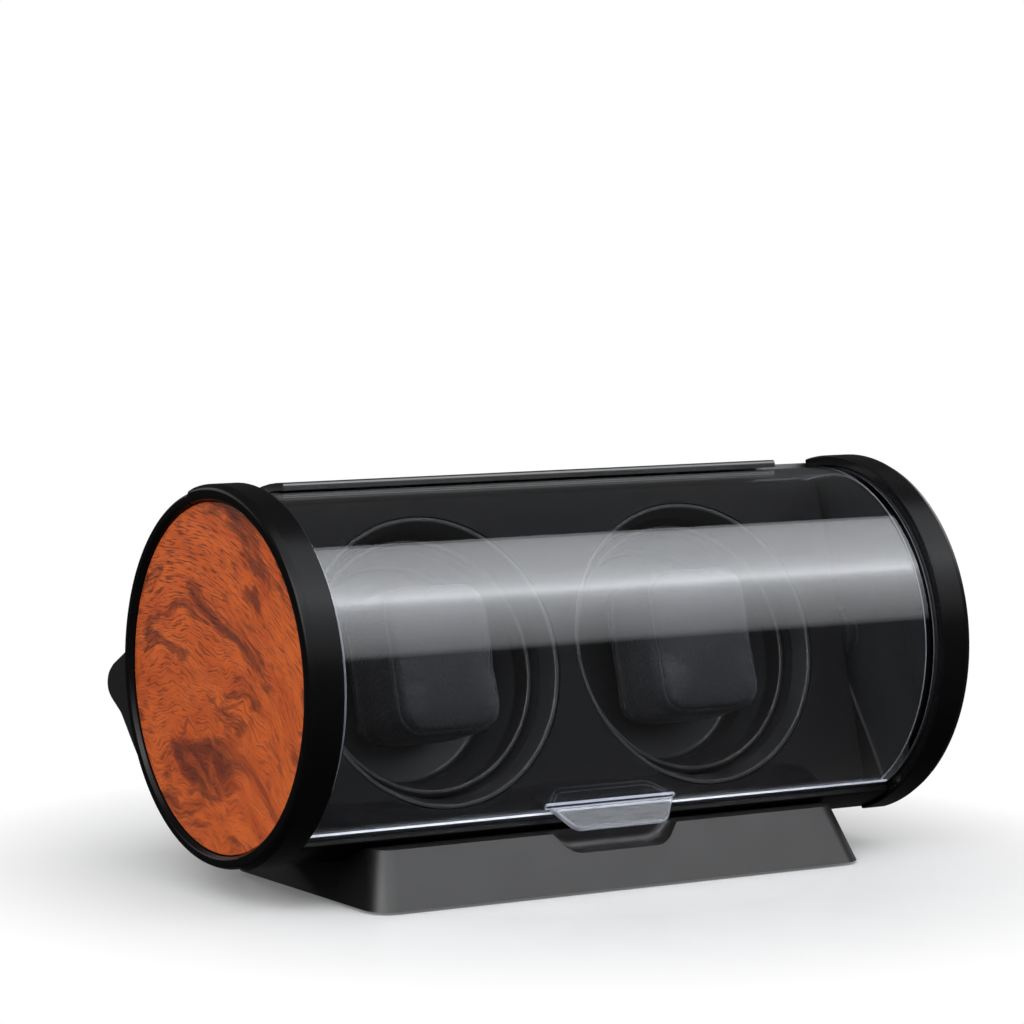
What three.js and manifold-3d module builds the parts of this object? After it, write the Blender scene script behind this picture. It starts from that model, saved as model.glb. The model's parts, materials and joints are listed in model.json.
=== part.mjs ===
// Watch winder box for two watches: a black cylinder lying on a low base, with a clear roll-top
// cover over its front, two turning drums behind the cover and a burl wood disc on each end.
// Millimetres, +Z up. The front faces -Y, and +X is on the right of a person looking at the front.
// The origin is on the table, under the middle of the whole box.
import * as THREE from "three";
import { mergeVertices } from "three/addons/utils/BufferGeometryUtils.js";
import Module from "manifold-3d";

const wasm = await Module();
wasm.setup();

// ---- Driving dimensions ----
const DEG = Math.PI / 180;
const GAP = 0.3; // clearance between pieces that touch
const ARC_STEP = 9; // degrees of arc to one flat facet
const ROUND = 40; // facets round a large turned piece
const SMALL = 16; // facets round a small turned piece

// The cylinder's axis runs along X. Stations along it are distances from the middle of the box.
const AXIS_HEIGHT = 72;
const AXIS_Y = -9.75;
const LEAN = 17; // degrees that the front panel and the seam between the two halves lean back
const SEAM = 90 + LEAN; // the seam's angle at the top, measured from the front up over the top

const COVER_OUTER = 58.2;
const COVER_INNER = 55.7;
const COVER_LOW = -54.4;
const COVER_HIGH = 112;
const COVER_END = 116.6;
const COVER_WALL = 2.5;
const HUB_RADIUS = 9; // round the pivots, on the cover's end walls and on the end plates
const PIN_RADIUS = 2.7;
const PIN_FROM = 110;
const PIN_TO = 121.8;
const PIN_HOLE = PIN_RADIUS + GAP;

const TAB_HALF = 25.5; // half the width of the finger tab where it leaves the cover
const TAB_LOW_HALF = 17;
const TAB_LENGTH = 11;
const TAB_CORNER = 4;
const TAB_THICK = 2.2;
const TAB_SLOPE = 46; // degrees below level
const TAB_BACK = -34.2;
const TAB_TOP = -44.6;

const DISC_FACE = 127.35;
const DISC_BACK = 124.8;
const DISC_RADIUS = 56.4;
const RIM_FACE = 129.3;
const RIM_RADIUS = 62;
const RIM_LIP = 56.7;
const RIM_INNER = 58.4;
const BAND_START = 117;
const PLATE_RADIUS = 58; // the end plates, which carry the discs and the pivots
const PLATE_FACE = 124.5;
const PLATE_FLOOR = 121.5;
const PLATE_EDGE = 117.3;

const SHELL_OUTER = 60.8;
const SHELL_INNER = 58.8;
const SHELL_END = 124.3;
const SHELL_WALL = 2;
const LIP_OUTER = 61.3;
const LIP_ANGLE = 92.8;
const LIP_LEFT = -102;
const LIP_RIGHT = 93;
const CONTROL_HALF = 60; // half the length of the flat on the rear ridge that takes the controls
const CONTROL_FLAT = 75;
const CONTROL_Z = -11.1;
const CONTROL_FACE = 77.6;
const KNOB_X = 36;
const KNOB_RADIUS = 4.6;
const KNOB_STEM = 2;
const KNOB_FACE = 81.4;
const BARREL_RADIUS = 3.4;
const INLET_BORE = 2.75;

const HOUSING_OUTER = 54.5;
const HOUSING_INNER = 52.5;
const HOUSING_END = 113.5;
const SADDLE_INNER = HOUSING_OUTER + GAP;
const SADDLE_HALF = 100;
const PANEL_FRONT = -8.4; // along the leaning frame's Y, which points back
const PANEL_BACK = -5.9;
const PANEL_HALF_HEIGHT = 53.5;
const OPENING_RADIUS = 48.35;

const DRUM_X = 51.9;
const DRUM_Z = -0.75;
const DRUM_RADIUS = 42.5;
const DRUM_GROOVE = 39;
const DRUM_SHAFT = 4;
const BELT_DRUM_INNER = 39.35;
const BELT_PULLEY_INNER = 3.85;
const BELT_THICK = 1.3;
const BELT_FROM = 11.6;
const BELT_TO = 13;
const MOTOR_X = 10.8;
const MOTOR_Z = -29.2;
const MOTOR_RADIUS = 9.5;
const CHASSIS_FRONT = 27;
const CHASSIS_BACK = 30;
const BEARING_SEAT = 7;
const POST_X = 26; // the posts that hold the control board
const BOARD_FRONT = 34;
const BOARD_BACK = 35.6;

const CUSHION_HALF_WIDTH = 22;
const CUSHION_HALF_HEIGHT = 27;
const CUSHION_FRONT = -20;
const CUSHION_BACK = 20;
const CUSHION_CORNER = 9;
const SOCKET_RADIUS = 6.6;
const SOCKET_FROM = 12.4;

const BASE_BOTTOM = -71; // heights here are from the cylinder's axis
const BASE_TOP = -53;
const BASE_HALF = 96.5;
const BASE_TOP_HALF = 91;
const BASE_FRONT = -48;
const BASE_REAR = 46;
const BASE_TOP_FRONT = -38.6;
const BASE_TOP_REAR = 37;
const BASE_WALL = 2.5;
const PLATE_BOTTOM = -69.1;
const PLATE_TOP = -67.1;
const SCREW_HOLE = 1.8;
const FASTENER_X = 62;
const FASTENER_FRONT = -33;
const FASTENER_REAR = 31;
const FOOT_X = 83;
const FOOT_FRONT = -34;
const FOOT_REAR = 32;
const FOOT_RADIUS = 7;
const FOOT_HEIGHT = 2.6;
const SCOOP_HALF = 25.5;
const SCOOP_LOW = -59.5;
const SCOOP_BACK = -33.5;

// ---- Materials ----
const finish = (color, roughness, metalness = 0, extra = {}) =>
  new THREE.MeshStandardMaterial({ color, roughness, metalness, ...extra });
const satinBlack = finish(0x141415, 0.38);
const innerBlack = finish(0x0c0c0d, 0.6);
const clear = finish(0xdfe4ea, 0.05, 0, { transparent: true, opacity: 0.25 });
const burl = finish(0xb5562a, 0.35);
const steel = finish(0xb9bcc0, 0.3, 1);
const rubber = finish(0x1a1a1a, 0.9);
const leather = finish(0x17161a, 0.7);
const nylon = finish(0xd8d5cc, 0.5);
const circuit = finish(0x1f5b36, 0.5);

// ---- Solids ----
// A closed mesh as a manifold solid, whichever way round its faces are listed.
function solid(geometry) {
  const bare = geometry.index ? geometry.toNonIndexed() : geometry.clone();
  bare.deleteAttribute("normal");
  bare.deleteAttribute("uv");
  const merged = mergeVertices(bare, 1e-4);
  const forward = [];
  const backward = [];
  for (let i = 0; i < merged.index.count; i += 3) {
    const [a, b, c] = [0, 1, 2].map((corner) => merged.index.getX(i + corner));
    if (a === b || b === c || c === a) continue;
    forward.push(a, b, c);
    backward.push(a, c, b);
  }
  const build = (corners) =>
    new wasm.Manifold(
      new wasm.Mesh({
        numProp: 3,
        vertProperties: merged.attributes.position.array,
        triVerts: new Uint32Array(corners),
      }),
    );
  const made = build(forward);
  return made.volume() > 0 ? made : build(backward);
}

// Points on a circle about the cylinder's axis as (back, up) pairs.
// Angles run from the front up over the top.
function arc(radius, from, to) {
  const steps = Math.max(1, Math.ceil(Math.abs(to - from) / ARC_STEP));
  return Array.from({ length: steps + 1 }, (_, i) => {
    const angle = (from + ((to - from) * i) / steps) * DEG;
    return new THREE.Vector2(-radius * Math.cos(angle), radius * Math.sin(angle));
  });
}

const ringSector = (inner, outer, from, to) => [...arc(outer, from, to), ...arc(inner, to, from)];

const ALONG_X = new THREE.Matrix4().makeBasis(
  new THREE.Vector3(0, 1, 0),
  new THREE.Vector3(0, 0, 1),
  new THREE.Vector3(1, 0, 0),
);
const ALONG_Y = new THREE.Matrix4().makeBasis(
  new THREE.Vector3(1, 0, 0),
  new THREE.Vector3(0, 0, 1),
  new THREE.Vector3(0, -1, 0),
);

const extrude = (shape, depth) =>
  new THREE.ExtrudeGeometry(shape, { depth, bevelEnabled: false, curveSegments: 3 });

// An outline of (back, up) points, drawn out along X.
function alongX(points, from, to) {
  const drawn = extrude(new THREE.Shape(points), to - from);
  return solid(drawn.applyMatrix4(ALONG_X).translate(from, 0, 0));
}

// A shape in (X, up), drawn out along Y.
function alongY(shape, from, to) {
  return solid(extrude(shape, to - from).applyMatrix4(ALONG_Y).translate(0, to, 0));
}

// A profile of [radius, station] pairs turned about the Y axis.
// A profile that starts off the axis closes on itself.
function turned(profile, segments = ROUND) {
  const points = profile.map(([radius, station]) => new THREE.Vector2(radius, station));
  if (profile[0][0] > 0) points.push(points[0].clone());
  return solid(new THREE.LatheGeometry(points, segments));
}

const turnedAboutX = (profile, segments) => turned(profile, segments).rotate([0, 0, -90]);
const discAlongY = (radius, from, to, segments = SMALL) =>
  turned([[0, from], [radius, from], [radius, to], [0, to]], segments);
const discAlongX = (radius, from, to, segments = ROUND) =>
  discAlongY(radius, from, to, segments).rotate([0, 0, -90]);
const discAlongZ = (radius, from, to, segments = SMALL) =>
  discAlongY(radius, from, to, segments).rotate([90, 0, 0]);

// A box from its ranges along X, Y and Z.
function box(...ranges) {
  const sizes = ranges.map(([from, to]) => to - from);
  const middles = ranges.map(([from, to]) => (from + to) / 2);
  return solid(new THREE.BoxGeometry(...sizes).translate(...middles));
}

function roundedRect(left, right, bottom, top, radius) {
  const shape = new THREE.Shape();
  shape.moveTo(left + radius, bottom);
  shape.lineTo(right - radius, bottom);
  shape.absarc(right - radius, bottom + radius, radius, -Math.PI / 2, 0);
  shape.lineTo(right, top - radius);
  shape.absarc(right - radius, top - radius, radius, 0, Math.PI / 2);
  shape.lineTo(left + radius, top);
  shape.absarc(left + radius, top - radius, radius, Math.PI / 2, Math.PI);
  shape.lineTo(left, bottom + radius);
  shape.absarc(left + radius, bottom + radius, radius, Math.PI, 1.5 * Math.PI);
  return shape;
}

// Everything on one side of the leaning seam plane.
const FAR = 250;
const frontHalf = box([-FAR, FAR], [-FAR, -GAP / 2], [-FAR, FAR]).rotate([-LEAN, 0, 0]);
const rearHalf = box([-FAR, FAR], [GAP / 2, FAR], [-FAR, FAR]).rotate([-LEAN, 0, 0]);

// ---- The scene graph ----
const winder = new THREE.Group();
const cylinder = new THREE.Group();
cylinder.position.set(0, AXIS_Y, AXIS_HEIGHT);
winder.add(cylinder);
const leaning = new THREE.Group();
leaning.rotation.x = -LEAN * DEG;
cylinder.add(leaning);

function piece(name, made, material, parent = cylinder) {
  const data = made.getMesh();
  const geometry = new THREE.BufferGeometry();
  geometry.setAttribute("position", new THREE.BufferAttribute(new Float32Array(data.vertProperties), 3));
  geometry.setIndex(new THREE.BufferAttribute(new Uint32Array(data.triVerts), 1));
  geometry.computeVertexNormals();
  const mesh = new THREE.Mesh(geometry, material);
  mesh.name = name;
  parent.add(mesh);
  return mesh;
}

// A right-hand piece and its mirror image on the left.
function pair(name, made, material, parent = cylinder) {
  piece(name + "_right", made, material, parent);
  piece(name + "_left", made, material, parent).scale.x = -1;
}

// ---- The clear cover ----
function fingerTab() {
  const shape = new THREE.Shape();
  shape.moveTo(-TAB_HALF, 0);
  shape.lineTo(TAB_HALF, 0);
  shape.lineTo(TAB_LOW_HALF + TAB_CORNER, TAB_LENGTH - TAB_CORNER);
  shape.quadraticCurveTo(TAB_LOW_HALF + 1, TAB_LENGTH, TAB_LOW_HALF - TAB_CORNER, TAB_LENGTH);
  shape.lineTo(-TAB_LOW_HALF + TAB_CORNER, TAB_LENGTH);
  shape.quadraticCurveTo(
    -TAB_LOW_HALF - 1,
    TAB_LENGTH,
    -TAB_LOW_HALF - TAB_CORNER,
    TAB_LENGTH - TAB_CORNER,
  );
  shape.closePath();
  const slope = TAB_SLOPE * DEG;
  const down = new THREE.Vector3(0, -Math.cos(slope), -Math.sin(slope));
  const out = new THREE.Vector3(0, -Math.sin(slope), Math.cos(slope));
  const place = new THREE.Matrix4().makeBasis(new THREE.Vector3(-1, 0, 0), down, out);
  place.setPosition(0, TAB_BACK, TAB_TOP);
  return solid(extrude(shape, TAB_THICK).applyMatrix4(place));
}

function clearCover() {
  const wall = [
    ...arc(COVER_OUTER, COVER_LOW, COVER_HIGH),
    ...arc(HUB_RADIUS, COVER_HIGH, COVER_LOW + 360),
  ];
  const inside = COVER_END - COVER_WALL;
  let made = alongX(ringSector(COVER_INNER, COVER_OUTER, COVER_LOW, COVER_HIGH), -COVER_END, COVER_END);
  made = made.add(alongX(wall, -COVER_END, -inside)).add(alongX(wall, inside, COVER_END));
  made = made.add(fingerTab());
  return made.subtract(discAlongX(PIN_HOLE, -COVER_END - 1, COVER_END + 1, SMALL));
}

piece("clear_cover", clearCover(), clear);
pair("pivot_pin", discAlongX(PIN_RADIUS, PIN_FROM, PIN_TO, SMALL), steel);

// ---- The ends ----
const endPlate = turnedAboutX([
  [0, PLATE_FACE],
  [PLATE_RADIUS, PLATE_FACE],
  [PLATE_RADIUS, PLATE_EDGE],
  [PLATE_RADIUS - 3, PLATE_EDGE],
  [PLATE_RADIUS - 3, PLATE_FLOOR],
  [HUB_RADIUS, PLATE_FLOOR],
  [HUB_RADIUS, PLATE_EDGE + GAP],
  [PIN_HOLE, PLATE_EDGE + GAP],
  [PIN_HOLE, PIN_TO + 2 * GAP],
  [0, PIN_TO + 2 * GAP],
]);
const woodDisc = turnedAboutX([
  [0, DISC_BACK],
  [DISC_RADIUS, DISC_BACK],
  [DISC_RADIUS, DISC_FACE - 0.4],
  [DISC_RADIUS - 0.4, DISC_FACE],
  [0, DISC_FACE],
]);
const frontRim = turnedAboutX([
  [RIM_INNER, BAND_START],
  [RIM_RADIUS - 0.6, BAND_START],
  [RIM_RADIUS, BAND_START + 0.6],
  [RIM_RADIUS, RIM_FACE - 2.8],
  [61.3, RIM_FACE - 1],
  [59.6, RIM_FACE],
  [57.9, RIM_FACE - 0.4],
  [RIM_LIP, RIM_FACE - 1.7],
  [RIM_LIP, DISC_BACK],
  [RIM_INNER, DISC_BACK],
]).intersect(frontHalf);
const rearRim = turnedAboutX([
  [RIM_LIP, DISC_BACK],
  [SHELL_OUTER - 0.4, DISC_BACK],
  [SHELL_OUTER, DISC_BACK + 0.4],
  [SHELL_OUTER, RIM_FACE - 1.8],
  [60.2, RIM_FACE - 0.7],
  [59.2, RIM_FACE],
  [57.9, RIM_FACE - 0.4],
  [RIM_LIP, RIM_FACE - 1.7],
]).intersect(rearHalf);

pair("end_plate", endPlate, satinBlack);
pair("wood_disc", woodDisc, burl);
pair("front_rim", frontRim, satinBlack);
pair("rear_rim", rearRim, satinBlack);

// ---- The rear shell and its controls ----
// The ridge along the back, as [back, up] corners from its top edge down to the belly.
const RIDGE = [
  [60.4, 5.4],
  [68.7, 0.4],
  [77.4, -4.7],
  [80.6, -7.8],
  [81.5, -11.1],
  [80.9, -13.8],
  [78.8, -15.9],
  [71.7, -20.2],
  [63.1, -29.7],
  [54.6, -38.5],
  [43.5, -48],
  [31.7, -55.6],
  [18.3, -60.6],
];

// The rear half's outline, grown by `offset`, closed across the axis.
function rearOutline(offset) {
  const ridge = RIDGE.map(([back, up]) => {
    const radius = Math.hypot(back, up);
    return new THREE.Vector2(back, up).multiplyScalar((radius + offset) / radius);
  });
  const foot = SHELL_OUTER + offset;
  return [...arc(foot, SEAM - 4, 172), ...ridge, ...arc(foot, 262, SEAM + 184)];
}

function rearShell() {
  const hollow = [[40, 3], ...RIDGE.slice(1, -1), [18, -50]].map(([back, up], i, all) => {
    const atEnd = i === 0 || i === all.length - 1;
    const middle = new THREE.Vector2(52, -14);
    const corner = new THREE.Vector2(back, up);
    const arm = corner.clone().sub(middle);
    return atEnd ? corner : middle.add(arm.multiplyScalar(1 - 2.6 / arm.length()));
  });
  const lip = ringSector(SHELL_INNER, LIP_OUTER, LIP_ANGLE, SEAM + 3);
  const body = alongX(rearOutline(0), -SHELL_END, SHELL_END)
    .subtract(discAlongX(SHELL_INNER, -SHELL_END - 1, SHELL_END + 1))
    .subtract(alongX(hollow, -SHELL_END + SHELL_WALL, SHELL_END - SHELL_WALL))
    .intersect(rearHalf)
    .add(alongX(lip, LIP_LEFT, LIP_RIGHT));
  const flat = box([-CONTROL_HALF, CONTROL_HALF], [CONTROL_FLAT, FAR], [-30, 10]);
  return body.subtract(flat);
}

function controlPlate() {
  const half = CONTROL_HALF - GAP;
  let made = alongY(
    roundedRect(-half, half, CONTROL_Z - 5.6, CONTROL_Z + 5.6, 1.5),
    CONTROL_FLAT + GAP,
    CONTROL_FACE - GAP,
  );
  for (const [x, radius] of [
    [-KNOB_X, KNOB_STEM + GAP],
    [0, BARREL_RADIUS + GAP],
    [KNOB_X, KNOB_STEM + GAP],
  ]) {
    const hole = discAlongY(radius, CONTROL_FLAT - 1, CONTROL_FLAT + 4);
    made = made.subtract(hole.translate([x, 0, CONTROL_Z]));
  }
  return made;
}

function modeKnob() {
  const grip = turned(
    [
      [0, 66],
      [KNOB_STEM, 66],
      [KNOB_STEM, CONTROL_FACE],
      [KNOB_RADIUS, CONTROL_FACE],
      [KNOB_RADIUS, KNOB_FACE - 0.5],
      [KNOB_RADIUS - 0.6, KNOB_FACE],
      [0, KNOB_FACE],
    ],
    SMALL,
  );
  const pointer = box([-0.5, 0.5], [KNOB_FACE - 0.6, FAR], [0.6, 6]);
  return grip.subtract(pointer).translate([KNOB_X, 0, CONTROL_Z]);
}

function dcInlet() {
  const barrel = turned(
    [
      [0, 64],
      [BARREL_RADIUS, 64],
      [BARREL_RADIUS, CONTROL_FACE],
      [5.2, CONTROL_FACE],
      [5.2, CONTROL_FACE + 1],
      [INLET_BORE, CONTROL_FACE + 1],
      [INLET_BORE, 68],
      [1, 68],
      [1, 77],
      [0, 77],
    ],
    SMALL,
  );
  return barrel.translate([0, 0, CONTROL_Z]);
}

piece("rear_shell", rearShell(), satinBlack);
piece("control_plate", controlPlate(), innerBlack);
piece("dc_inlet", dcInlet(), innerBlack);
pair("mode_knob", modeKnob(), satinBlack);

// ---- The base ----
// The base's tapered block, drawn in all round by `inset`.
function baseBlock(inset, bottom, top) {
  const half = BASE_HALF - inset;
  const geometry = extrude(roundedRect(-half, half, BASE_FRONT + inset, BASE_REAR - inset, 8), 1);
  const corners = geometry.getAttribute("position");
  for (let i = 0; i < corners.count; i++) {
    const height = bottom + (top - bottom) * corners.getZ(i);
    const share = (height - BASE_BOTTOM) / (BASE_TOP - BASE_BOTTOM);
    const depth = (corners.getY(i) - BASE_FRONT) / (BASE_REAR - BASE_FRONT);
    const [frontIn, rearIn] = [BASE_TOP_FRONT - BASE_FRONT, BASE_TOP_REAR - BASE_REAR];
    const leanIn = THREE.MathUtils.lerp(frontIn, rearIn, depth);
    const narrowing = 1 - (share * (BASE_HALF - BASE_TOP_HALF)) / BASE_HALF;
    corners.setXYZ(i, corners.getX(i) * narrowing, corners.getY(i) + share * leanIn, height);
  }
  return solid(geometry);
}

// What lies in the base's cradle, grown by `offset`.
function cradle(offset) {
  return discAlongX(SHELL_OUTER + offset + 0.2, -FAR, FAR).add(alongX(rearOutline(offset), -FAR, FAR));
}

// The scoop for a finger under the cover's tab, grown by `offset`.
function fingerScoop(offset, back) {
  const shape = new THREE.Shape();
  const half = SCOOP_HALF + offset;
  const low = SCOOP_LOW - offset;
  shape.moveTo(-half, -40);
  shape.lineTo(-half, BASE_TOP);
  shape.bezierCurveTo(-half + 4, low + 1, -half + 9, low, -half + 16, low);
  shape.lineTo(half - 16, low);
  shape.bezierCurveTo(half - 9, low, half - 4, low + 1, half, BASE_TOP);
  shape.lineTo(half, -40);
  return alongY(shape, -70, back);
}

function fastenerPlaces() {
  return [-FASTENER_X, FASTENER_X].flatMap((x) => [FASTENER_FRONT, FASTENER_REAR].map((y) => [x, y]));
}

function wholeBase() {
  const outer = baseBlock(0, BASE_BOTTOM, BASE_TOP);
  const hollow = baseBlock(BASE_WALL, BASE_BOTTOM - 5, BASE_TOP - BASE_WALL).subtract(cradle(2.6));
  let made = outer.subtract(hollow);
  made = made.add(fingerScoop(2, SCOOP_BACK + 2).intersect(outer));
  const boss = discAlongZ(4, PLATE_TOP + GAP, BASE_TOP - 1);
  const hole = discAlongZ(SCREW_HOLE, PLATE_BOTTOM, PLATE_TOP + 8, 12);
  for (const [x, y] of fastenerPlaces()) made = made.add(boss.translate([x, y, 0]).intersect(outer));
  made = made.subtract(cradle(GAP)).subtract(fingerScoop(0, SCOOP_BACK));
  for (const [x, y] of fastenerPlaces()) made = made.subtract(hole.translate([x, y, 0]));
  return made;
}

function bottomPlate() {
  let made = baseBlock(BASE_WALL + GAP, PLATE_BOTTOM, PLATE_TOP);
  const hole = discAlongZ(SCREW_HOLE, PLATE_BOTTOM - 1, PLATE_TOP + 1, 12);
  for (const [x, y] of fastenerPlaces()) made = made.subtract(hole.translate([x, y, 0]));
  return made;
}

function frontSill() {
  const low = 34.3 - SEAM;
  const outline = [
    ...arc(SHELL_OUTER, -56, low),
    ...arc(SHELL_INNER, low, -61),
    ...arc(SADDLE_INNER + 0.1, -61, -59),
    ...arc(SHELL_INNER - 0.4, -57.5, -56),
  ];
  return alongX(outline, -COVER_END, COVER_END);
}

const base = wholeBase();
piece("base_front", base.intersect(frontHalf), satinBlack);
piece("base_rear", base.intersect(rearHalf), satinBlack);
piece("bottom_plate", bottomPlate(), innerBlack);
piece("front_sill", frontSill(), satinBlack);
const saddle = ringSector(SADDLE_INNER, SHELL_INNER - 0.5, 231, 297);
piece("housing_saddle", alongX(saddle, -SADDLE_HALF, SADDLE_HALF), innerBlack);

const screw = turned(
  [
    [0, 0],
    [1.5, 0],
    [1.5, 8.4],
    [3, 8.4],
    [3, 9.4],
    [2.2, 9.9],
    [0, 9.9],
  ],
  12,
).rotate([-90, 0, 0]);
const foot = turned(
  [
    [0, 0],
    [FOOT_RADIUS - 0.4, 0],
    [FOOT_RADIUS, 0.4],
    [FOOT_RADIUS, FOOT_HEIGHT],
    [0, FOOT_HEIGHT],
  ],
  24,
).rotate([90, 0, 0]);
for (const [side, sign] of [["left", -1], ["right", 1]]) {
  for (const [end, screwY, footY] of [
    ["front", FASTENER_FRONT, FOOT_FRONT],
    ["rear", FASTENER_REAR, FOOT_REAR],
  ]) {
    const screwTop = PLATE_BOTTOM + 8.1;
    piece(`base_screw_${end}_${side}`, screw.translate([sign * FASTENER_X, screwY, screwTop]), steel);
    piece(`foot_${end}_${side}`, foot.translate([sign * FOOT_X, footY, -AXIS_HEIGHT]), rubber);
  }
}

// ---- The inner housing and front panel, in the leaning frame ----
function innerHousing() {
  const tub = (radius) => {
    const front = Math.acos(-(PANEL_BACK + GAP) / radius) / DEG;
    return arc(radius, front, 360 - front);
  };
  const mouth = [new THREE.Vector2(-20, -HOUSING_INNER + 1), new THREE.Vector2(-20, HOUSING_INNER - 1)];
  return alongX(tub(HOUSING_OUTER), -HOUSING_END, HOUSING_END)
    .subtract(alongX([...tub(HOUSING_INNER), ...mouth], -HOUSING_END + 2, HOUSING_END - 2))
    .subtract(discAlongX(PIN_HOLE, -HOUSING_END - 1, HOUSING_END + 1, SMALL));
}

function frontPanel() {
  const shape = roundedRect(-HOUSING_END, HOUSING_END, -PANEL_HALF_HEIGHT, PANEL_HALF_HEIGHT, 3);
  let made = alongY(shape, PANEL_FRONT, PANEL_BACK);
  const opening = discAlongY(OPENING_RADIUS, PANEL_FRONT - 1, PANEL_BACK + 1, ROUND);
  for (const x of [-DRUM_X, DRUM_X]) made = made.subtract(opening.translate([x, 0, DRUM_Z]));
  return made;
}

const bezelRing = turned([
  [46.6, PANEL_FRONT + GAP],
  [OPENING_RADIUS - GAP, PANEL_FRONT + GAP],
  [OPENING_RADIUS - GAP, PANEL_BACK + GAP],
  [50.3, PANEL_BACK + GAP],
  [50.3, -4.2],
  [47.6, -4.2],
  [45, 5.5],
  [43.3, 5.5],
]);

piece("inner_housing", innerHousing(), innerBlack, leaning);
piece("front_panel", frontPanel(), innerBlack, leaning);
pair("bezel_ring", bezelRing.translate([DRUM_X, 0, DRUM_Z]), satinBlack, leaning);

// ---- The drums and their drive, in the leaning frame ----
const drum = turned([
  [0, 34],
  [DRUM_SHAFT, 34],
  [DRUM_SHAFT, 25],
  [38.5, 25],
  [38.5, 14.8],
  [40.4, 14.8],
  [DRUM_GROOVE, 13.2],
  [DRUM_GROOVE, 11.4],
  [DRUM_RADIUS, 8.2],
  [DRUM_RADIUS, 0.3],
  [40.7, 0.3],
  [40.7, 8],
  [36.8, 14],
  [36.8, 22.6],
  [6, 22.6],
  [6, 13],
  [0, 13],
]);
const bearing = turned(
  [
    [DRUM_SHAFT + GAP, 25.4],
    [9, 25.4],
    [9, CHASSIS_FRONT - GAP],
    [BEARING_SEAT, CHASSIS_FRONT - GAP],
    [BEARING_SEAT, 30.6],
    [DRUM_SHAFT + GAP, 30.6],
  ],
  SMALL,
);
const retainer = turned(
  [
    [DRUM_SHAFT + GAP, 31],
    [8, 31],
    [8, 32.4],
    [DRUM_SHAFT + GAP, 32.4],
  ],
  SMALL,
);
const motorPulley = turned(
  [
    [0, 10],
    [4.8, 10],
    [4.8, 10.8],
    [3.5, 11.5],
    [3.5, 13.1],
    [4.8, 13.8],
    [4.8, 14.6],
    [1.5, 14.6],
    [1.5, 18.5],
    [0, 18.5],
  ],
  SMALL,
);
const motor = turned(
  [
    [0, 19],
    [1.9, 19],
    [1.9, 16.4],
    [3.6, 16.4],
    [3.6, 17.4],
    [MOTOR_RADIUS - 0.6, 17.4],
    [MOTOR_RADIUS, 18],
    [MOTOR_RADIUS, 33],
    [0, 33],
  ],
  24,
);

// The belt's outline round the drum and the motor pulley, at `extra` beyond its inner face.
function beltOutline(extra) {
  const reach = new THREE.Vector2(MOTOR_X - DRUM_X, MOTOR_Z - DRUM_Z);
  const large = BELT_DRUM_INNER + extra;
  const small = BELT_PULLEY_INNER + extra;
  const spread = Math.acos((large - small) / reach.length());
  const towards = reach.angle();
  const sweep = (x, z, radius, from, to, steps) =>
    Array.from({ length: steps + 1 }, (_, i) => {
      const angle = from + ((to - from) * i) / steps;
      return new THREE.Vector2(x + radius * Math.cos(angle), z + radius * Math.sin(angle));
    });
  return [
    ...sweep(DRUM_X, DRUM_Z, large, towards + spread, towards + 2 * Math.PI - spread, 36),
    ...sweep(MOTOR_X, MOTOR_Z, small, towards - spread, towards + spread, 8),
  ];
}

function belt() {
  const shape = new THREE.Shape(beltOutline(BELT_THICK));
  shape.holes.push(new THREE.Path(beltOutline(0)));
  return alongY(shape, BELT_FROM, BELT_TO);
}

function driveChassis() {
  const shape = roundedRect(-HOUSING_END + 2.5, HOUSING_END - 2.5, -42, 40, 4);
  let made = alongY(shape, CHASSIS_FRONT, CHASSIS_BACK);
  for (const sign of [-1, 1]) {
    const seat = discAlongY(BEARING_SEAT + GAP, CHASSIS_FRONT - 1, CHASSIS_BACK + 1);
    made = made.subtract(seat.translate([sign * DRUM_X, 0, DRUM_Z]));
    const motorSeat = discAlongY(MOTOR_RADIUS + GAP, CHASSIS_FRONT - 1, CHASSIS_BACK + 1, 24);
    made = made.subtract(motorSeat.translate([sign * MOTOR_X, 0, MOTOR_Z]));
    const post = discAlongY(2, CHASSIS_BACK - 1, BOARD_FRONT - GAP, 12);
    for (const z of [-8, 22]) made = made.add(post.translate([sign * POST_X, 0, z]));
  }
  return made;
}

function controlBoard() {
  const board = box([-POST_X - 4, POST_X + 4], [BOARD_FRONT, BOARD_BACK], [-12, 26]);
  const chip = box([-9, 7], [35, BOARD_BACK + 2], [0, 12]);
  const relay = box([14, 24], [35, BOARD_BACK + 3.4], [-6, 4]);
  return board.add(chip).add(relay);
}

pair("drum", drum.translate([DRUM_X, 0, DRUM_Z]), satinBlack, leaning);
pair("drum_bearing", bearing.translate([DRUM_X, 0, DRUM_Z]), nylon, leaning);
pair("drum_retainer", retainer.translate([DRUM_X, 0, DRUM_Z]), steel, leaning);
pair("motor", motor.translate([MOTOR_X, 0, MOTOR_Z]), steel, leaning);
pair("motor_pulley", motorPulley.translate([MOTOR_X, 0, MOTOR_Z]), nylon, leaning);
pair("drive_belt", belt(), rubber, leaning);
piece("drive_chassis", driveChassis(), innerBlack, leaning);
piece("control_board", controlBoard(), circuit, leaning);

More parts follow.
